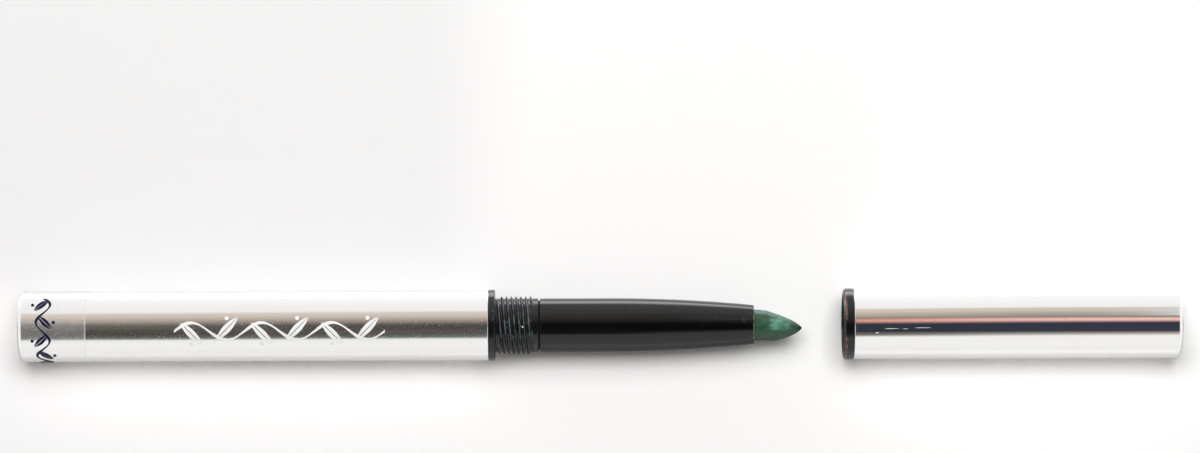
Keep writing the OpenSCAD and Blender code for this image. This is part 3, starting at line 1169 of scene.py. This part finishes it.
@dataclass
class Cap:
    """The screw cap: shell, threaded liner, inner cap and spring.

    The liner's mouth widens by entry. The bore of its thread ends thread_room from the mouth, and
    slopes as long as slope lead from there to the narrow bore, and up to the bead and down.
    """

    mouth: float = 129.4
    collar: float = 1.6
    end: float = 182.5
    radius: float = 5.6
    wall: float = 0.5
    end_round: float = 0.78
    bevel: float = 0.3
    liner_r: float = 5.08
    liner_end: float = 181.98
    bore_r: float = 4.4
    bore_end: float = 181.08
    bead: float = 158.395
    bead_h: float = 0.3
    bead_top: float = 0.5
    slope: float = 0.3
    entry: float = 0.35
    thread_room: float = 6.1
    residue: tuple[float, float] = (0.24, 0.5)
    spring_travel: float = 5.655
    thread: Thread = field(
        default_factory=lambda: Thread(130.5, 134.9, 130.931, 4.65, 4.29, crest_w=0.254))

    def build(self) -> None:
        """Builds the pieces of the cap."""
        self.shell()
        self.liner()
        self.spring()
        soft = PlainPlastic("inner_cap_plastic", (0.8, 0.8, 0.78), (0.72, 0.71, 0.68), 0.4)
        redress("inner_cap", soft)

    def shell(self) -> None:
        """Builds the bright shell with its rounded end and rolled mouth."""
        start, inner = self.mouth + self.collar + 0.02, self.radius - self.wall
        outline = rounded([
            (self.end - self.wall, 0, 0), (self.end - self.wall, inner, 0.4),
            (start, inner, 0.06), (start, self.radius, 0.14),
            (self.end, self.radius, self.end_round), (self.end, 0, 0),
        ], closed=False)
        finish = BrightMetal(
            "cap_metal", (0.965, 0.96, 0.955), 0.055, 0.12, self.radius,
            marks=(
                Mark(136.9, -9.8, 3.0, 0.11), Mark(141.6, -8.6, 3.0, 0.12),
                Mark(138.9, -10.2, 1.2, 0.08), Mark(134.5, -16.6, 0.8, 0.24),
            ),
        )
        piece = turned("cap_shell_smooth", *outline.T, Side.SOLID)
        install(piece, "cap_shell", "cap", finish)

    def liner(self) -> None:
        """Builds the black liner: collar, inner thread, bead and closed end."""
        start, wall, bore = self.mouth, self.thread.wall_r, self.bore_r
        seat, entry, slope = start + self.collar, self.entry, self.slope
        bead, top, bead_r = self.bead - slope, self.bead_top, bore - self.bead_h
        thread_to = start + self.thread_room
        behind = rounded([
            (self.liner_end, 0, 0), (self.liner_end, self.liner_r, 0.42),
            (seat, self.liner_r, 0.04), (seat, self.radius, 0.1),
            (start + self.bevel, self.radius, 0.08), (start, self.radius - self.bevel, 0.08),
            (start, wall + entry, 0.08), (start + entry, wall, 0.08), (start + 0.6, wall, 0),
        ], closed=False)
        front = rounded([
            (thread_to, wall, 0.05), (thread_to + slope, bore, 0.05),
            (bead - top - slope, bore, 0.05), (bead - top, bead_r, 0.08), (bead, bead_r, 0.08),
            (bead + slope, bore, 0.05),
            (self.bore_end, bore, 0.2), (self.bore_end, 0, 0),
        ], closed=False)
        along, radius = self.thread.splice(behind, front)
        # Two ragged reddish-brown rings on the collar's mouth bevel, one towards +Y and one towards
        # -Y.
        low, high = (start + place for place in self.residue)
        finish = DarkPlastic(
            "collar_plastic", (0.003, 0.003, 0.0035), 0.16, smear=0.15, smear_grain=1.6, bump=0.012,
            rings=(
                Ring(low, high, 8.0, 60.0, (0.17, 0.07, 0.05)),
                Ring(low, high, -80.0, -24.0, (0.15, 0.07, 0.055)),
            ),
        )
        columns = self.thread.columns
        piece = turned("cap_liner_threaded", along, radius, Side.SOLID, columns=columns)
        install(piece, "cap_liner", "cap", finish)

    def spring(self) -> None:
        """Builds the spring, which rides on the cap's advancing part."""
        low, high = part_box("cap_spring")
        wire = 0.2
        radius = (high.y - low.y) / MM / 2 - wire
        start, end = lie.along(low.x) + wire, lie.along(high.x) - wire
        piece = coil("cap_spring_wire", start, end, radius, wire, turns=8)
        finish = DrawnWire("spring_wire", (0.62, 0.62, 0.63), 0.3)
        install(piece, "cap_spring", "cap_advance", finish)
        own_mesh(piece)


# What the metal mirrors of a slot in a white tent, at angles from straight up towards +Y, over the
# two ends of the barrel and of the cap, and the sides of the tent nearer to the camera and further.
BASE_END: Stops = (
    (-48, (0.9, 0.9, 0.88)), (-45, (0.11, 0.13, 0.12)), (-37, (0.09, 0.095, 0.08)),
    (-31, (0.06, 0.058, 0.052)), (-17, (0.062, 0.058, 0.052)), (-12, (0.125, 0.112, 0.098)),
    (-4, (0.14, 0.125, 0.108)), (3, (0.2, 0.18, 0.16)), (9, (0.33, 0.3, 0.27)),
    (17, (0.46, 0.41, 0.36)), (26, (0.64, 0.53, 0.46)), (38, (0.67, 0.61, 0.56)), (42, TENT),
)
NECK_END: Stops = (
    (-45, (0.9, 0.9, 0.88)), (-42, (0.12, 0.155, 0.14)), (-32, (0.105, 0.115, 0.105)),
    (-25, (0.09, 0.086, 0.08)), (-17, (0.1, 0.088, 0.08)), (-12, (0.06, 0.06, 0.054)),
    (1, (0.055, 0.055, 0.05)), (6, (0.15, 0.12, 0.11)), (12, (0.28, 0.23, 0.21)),
    (20, (0.44, 0.4, 0.345)), (30, (0.66, 0.56, 0.47)), (42, (0.66, 0.6, 0.54)), (46, TENT),
)
CAP_MOUTH: Stops = (
    (-45, (0.9, 0.9, 0.87)), (-41, (0.4, 0.35, 0.3)), (-36, (0.1, 0.09, 0.09)),
    (-31, (0.1, 0.105, 0.1)), (-27, (0.022, 0.033, 0.045)), (-4, (0.025, 0.036, 0.052)),
    (-1, (0.12, 0.08, 0.085)), (5, (0.62, 0.3, 0.24)), (9, (0.78, 0.36, 0.28)),
    (13, (0.5, 0.22, 0.17)), (16, (0.24, 0.19, 0.17)), (22, (0.42, 0.37, 0.33)),
    (30, (0.5, 0.44, 0.38)), (37, (0.68, 0.56, 0.47)), (46, (0.66, 0.62, 0.56)), (50, TENT),
)
CAP_END: Stops = (
    (-43, (0.9, 0.89, 0.86)), (-39, (0.6, 0.56, 0.52)), (-32, (0.24, 0.2, 0.19)),
    (-27, (0.04, 0.045, 0.066)), (-1, (0.033, 0.038, 0.063)), (2, (0.2, 0.12, 0.13)),
    (7, (0.74, 0.45, 0.4)), (11, (0.95, 0.62, 0.52)), (15, (0.7, 0.42, 0.36)),
    (19, (0.23, 0.2, 0.195)), (26, (0.35, 0.32, 0.29)), (33, (0.44, 0.39, 0.34)),
    (40, (0.62, 0.53, 0.43)), (49, (0.61, 0.56, 0.5)), (53, (0.92, 0.91, 0.89)),
)
NEAR_SIDE: Stops = ((-90, (0.88, 0.87, 0.855)), (-72, TENT))
FAR_SIDE: Stops = ((60, TENT), (75, (0.95, 0.94, 0.94)), (90, (0.98, 0.98, 0.98)))
# The light that the metal throws on the table, as a share of the soft boxes' level.
THROWN: Stops = (
    (-90, (0.95, 0.92, 0.89)), (-12, (0.95, 0.92, 0.89)), (2, (0.36, 0.355, 0.355)),
    (25, (0.3, 0.3, 0.3)), (43, (0.02, 0.02, 0.02)),
)


@dataclass
class Studio:
    """The pale table, the soft light, the surroundings that the metal mirrors, and the camera.

    A soft box is its name, its power and the two limits between which it lies along Y. The tones
    are the table's: before and behind the barrel, round the nose, round the cap, and further off.
    """

    photo_width: float = 1200.0
    focal: float = 5079.0
    sensor: float = 36.0
    elevation: float = 86.7
    distance: float = 0.8
    aim_y: float = 0.0155
    roll: float = -0.2
    lamp_height: float = 0.8
    lamp_length: float = 0.6
    soft_boxes: tuple[tuple[str, float, float, float], ...] = (
        ("key_softbox", 3.3, 0.056, 0.356),
        ("wide_softbox", 4.95, 0.007, 0.625),
    )
    soft_level: float = 2.4
    strip_power: float = 0.05
    strip_size: tuple[float, float] = (0.24, 0.022)
    strip_place: tuple[float, float, float] = (0.0, 0.026, 0.0004)
    strip_tint: Colour = (0.95, 0.96, 1.0)
    table_half: float = 1.5
    tone_before: Colour = (0.905, 0.901, 0.9)
    tone_behind: Colour = (0.84, 0.835, 0.833)
    tone_nose: Colour = (0.94, 0.933, 0.929)
    tone_cap: Colour = (0.965, 0.963, 0.962)
    tone_around: Colour = (0.935, 0.93, 0.926)
    card_height: float = 0.06
    card_x: tuple[float, float] = (-0.012, 0.0395)
    card_angles: tuple[float, float] = (-8.0, 21.0)

    def build(self) -> None:
        """Builds the studio."""
        self.table()
        self.card()
        self.surroundings()
        self.lamps()
        self.camera()

    @staticmethod
    def sheet(
        name: str, x: tuple[float, float], y: tuple[float, float], z: float,
    ) -> bpy.types.Object:
        """Makes a flat rectangle that faces up.

        Args:
            name: the object's name.
            x: its limits along X, in metres.
            y: its limits along Y.
            z: its height.

        Returns:
            The object.
        """
        points = [(x[0], y[0], z), (x[1], y[0], z), (x[1], y[1], z), (x[0], y[1], z)]
        return meshed(name, np.array(points, float), [np.array([[0, 1, 2, 3]])], flip=False)

    def table(self) -> None:
        """Builds the table top.

        Its tone changes a little along the row and away from it, as the light on it does. Far off
        it glows evenly for the camera and for mirrors. What a mirror sees of it near the pen is
        darker, where the pen would shade it.
        """
        span = (-self.table_half, self.table_half)
        top = self.sheet("table_top", span, span, 0)
        skin = Skin("pale_table")
        reach = skin.node("ShaderNodeVectorMath", {"operation": "LENGTH"}, {0: skin.place}, 1)
        camera, mirror, _ = skin.paths()
        x, y = skin.along * MM + lie.base_x, skin.y
        pale = skin.mix(y.rise(-0.004, 0.006), self.tone_before, self.tone_behind)
        pale = skin.mix(x.rise(-0.03, -0.009), pale, self.tone_nose)
        pale = skin.mix(x.rise(0.035, 0.07), pale, self.tone_cap)
        pale = skin.mix(y.abs().rise(0.05, 0.13), pale, self.tone_around)
        far = reach.rise(0.12, 0.3) * camera.highest(mirror)
        near = y.rise(-0.032, -0.004) * y.rise(0.004, 0.0) * mirror
        below_nose = x.rise(-0.018, -0.01) * x.rise(0.034, 0.026)
        shade = skin.mix(near * (below_nose * 0.3 + 0.45), pale, BLACK)
        wear(top, skin.finish({
            "Base Color": skin.mix(far, shade, BLACK),
            "Roughness": 0.9,
            "Specular IOR Level": 0.0,
            "Emission Color": skin.mix(far, BLACK, (0.95, 0.95, 0.95)),
            "Emission Strength": 1.0,
        }))

    def card(self) -> None:
        """Builds the grey card over the nose, which only mirrors meet.

        It carries the bands of the neck on over the whole nose, whose taper would mirror those of
        the cap.
        """
        y = tuple(self.card_height * math.tan(math.radians(angle)) for angle in self.card_angles)
        card = self.sheet("grey_card", self.card_x, y, lie.axis_z + self.card_height)
        card.visible_camera = card.visible_diffuse = False
        card.visible_shadow = card.visible_transmission = False
        skin = Skin("banded_card")
        wear(card, skin.finish({
            "Base Color": BLACK,
            "Specular IOR Level": 0.0,
            "Emission Color": skin.bands(skin.angle / 360 + 0.5, NECK_END),
            "Emission Strength": 1.0,
        }))

    @staticmethod
    def mirrored(graph: Graph, x: Signal, tilt: Signal) -> Signal:
        """Works out what the metal mirrors.

        The base end's bands pass into the neck end's along the barrel, and the cap's two along the
        cap. A thin dark red line lies over the barrel and a grey patch over the cap's end.

        Args:
            graph: the world's node tree.
            x: a direction's part along the pen, from -0.11 over the base end to 0.11 over the
                cap's end.
            tilt: its angle from straight up towards +Y, in degrees.

        Returns:
            The colour that comes from there.
        """
        turn = tilt / 360 + 0.5
        base_end, neck_end, cap_mouth, cap_end = (
            graph.bands(turn, (*NEAR_SIDE, *slot, *FAR_SIDE))
            for slot in (BASE_END, NECK_END, CAP_MOUTH, CAP_END)
        )
        barrel = graph.mix(x.rise(-0.1, -0.035), base_end, neck_end)
        ends = x.rise(-0.084, -0.078) * x.rise(-0.036, -0.046)
        line = tilt.between(-21.5, -20.5, 1.5) * ends
        barrel = graph.mix(line * 0.6, barrel, (0.4, 0.16, 0.12))
        cap = graph.mix(x.rise(0.045, 0.095), cap_mouth, cap_end)
        patch = x.rise(0.105, 0.113) * tilt.rise(20, 24) * tilt.rise(53, 50)
        cap = graph.mix(patch, cap, (0.68, 0.69, 0.7))
        both = graph.mix(x.rise(0.034, 0.044), barrel, cap)
        return graph.mix(x.abs().rise(0.34, 0.5), both, (0.93, 0.93, 0.93))

    def surroundings(self) -> None:
        """Builds the world: white for the camera, plain soft light, and the tent for mirrors.

        For the light that the metal throws on the table the world stands in for the soft boxes,
        which mirrors don't meet.
        """
        world = bpy.data.worlds.new("surroundings")
        bpy.context.scene.world = world
        world.use_nodes = True
        graph = Graph(world.node_tree)
        x, y, z = graph.xyz(graph.node("ShaderNodeTexCoord", {}, {}, "Generated"))
        tilt = y.angle_from(z) * math.degrees(1)
        camera, mirror, thrown = graph.paths()
        soft = graph.bands(tilt / 360 + 0.5, THROWN)
        scale = {0: soft, "Scale": self.soft_level}
        soft = graph.node("ShaderNodeVectorMath", {"operation": "SCALE"}, scale)
        fill = graph.mix(tilt.rise(-4, 4), (0.2, 0.193, 0.186), (0.08, 0.077, 0.074))
        fill = graph.mix(tilt.rise(64, 78), fill, (0.9, 0.885, 0.87))
        colour = graph.mix(thrown, fill, soft)
        colour = graph.mix(mirror, colour, self.mirrored(graph, x, tilt))
        colour = graph.mix(camera, colour, (1.0, 1.0, 1.0))
        background = graph.node("ShaderNodeBackground", {}, {"Color": colour, "Strength": 1.0})
        graph.node("ShaderNodeOutputWorld", {}, {"Surface": background}, None)

    @staticmethod
    def lamp(
        name: str, power: float, size: tuple[float, float], place: tuple[float, float, float],
    ) -> bpy.types.Object:
        """Adds a rectangular lamp that shines down.

        Args:
            name: the lamp's name.
            power: its power, in watts.
            size: its length and width, in metres.
            place: its middle.

        Returns:
            The lamp.
        """
        data = bpy.data.lights.new(name, "AREA")
        data.shape = "RECTANGLE"
        data.size, data.size_y = size
        data.energy = power
        light = placed(name, data)
        light.location = place
        return light

    def lamps(self) -> None:
        """Adds the long soft boxes overhead, and a narrow lamp for the line on the pen's edge."""
        for name, power, near, far in self.soft_boxes:
            size, place = (self.lamp_length, far - near), (0.0, (near + far) / 2, self.lamp_height)
            self.lamp(name, power, size, place).visible_glossy = False
        strip = self.lamp("edge_strip", self.strip_power, self.strip_size, self.strip_place)
        strip.data.color = self.strip_tint
        strip.rotation_euler = (math.pi, 0.0, 0.0)
        strip.visible_camera = strip.visible_diffuse = False

    def camera(self) -> None:
        """Adds the camera almost straight above, at the photograph's angle."""
        data = bpy.data.cameras.new("camera")
        data.sensor_width = self.sensor
        data.lens = self.focal / self.photo_width * self.sensor
        camera = placed("camera", data)
        rise = math.radians(self.elevation)
        camera.location = (
            0.0,
            self.aim_y - self.distance * math.cos(rise),
            lie.axis_z + self.distance * math.sin(rise),
        )
        camera.rotation_euler = (math.pi / 2 - rise, 0.0, 0.0)
        camera.rotation_euler.rotate_axis("Z", math.radians(self.roll))
        bpy.context.scene.camera = camera


def main() -> None:
    """Builds the object and the studio."""
    logging.basicConfig(level=logging.INFO, format="%(message)s")
    bpy.context.scene.view_settings.view_transform = "Standard"
    for group in (Barrel(), Nose(), KohlFeed(), Cap(), Studio()):
        group.build()
        log.info("%s is built", type(group).__name__)


if __name__ == "__main__":
    main()
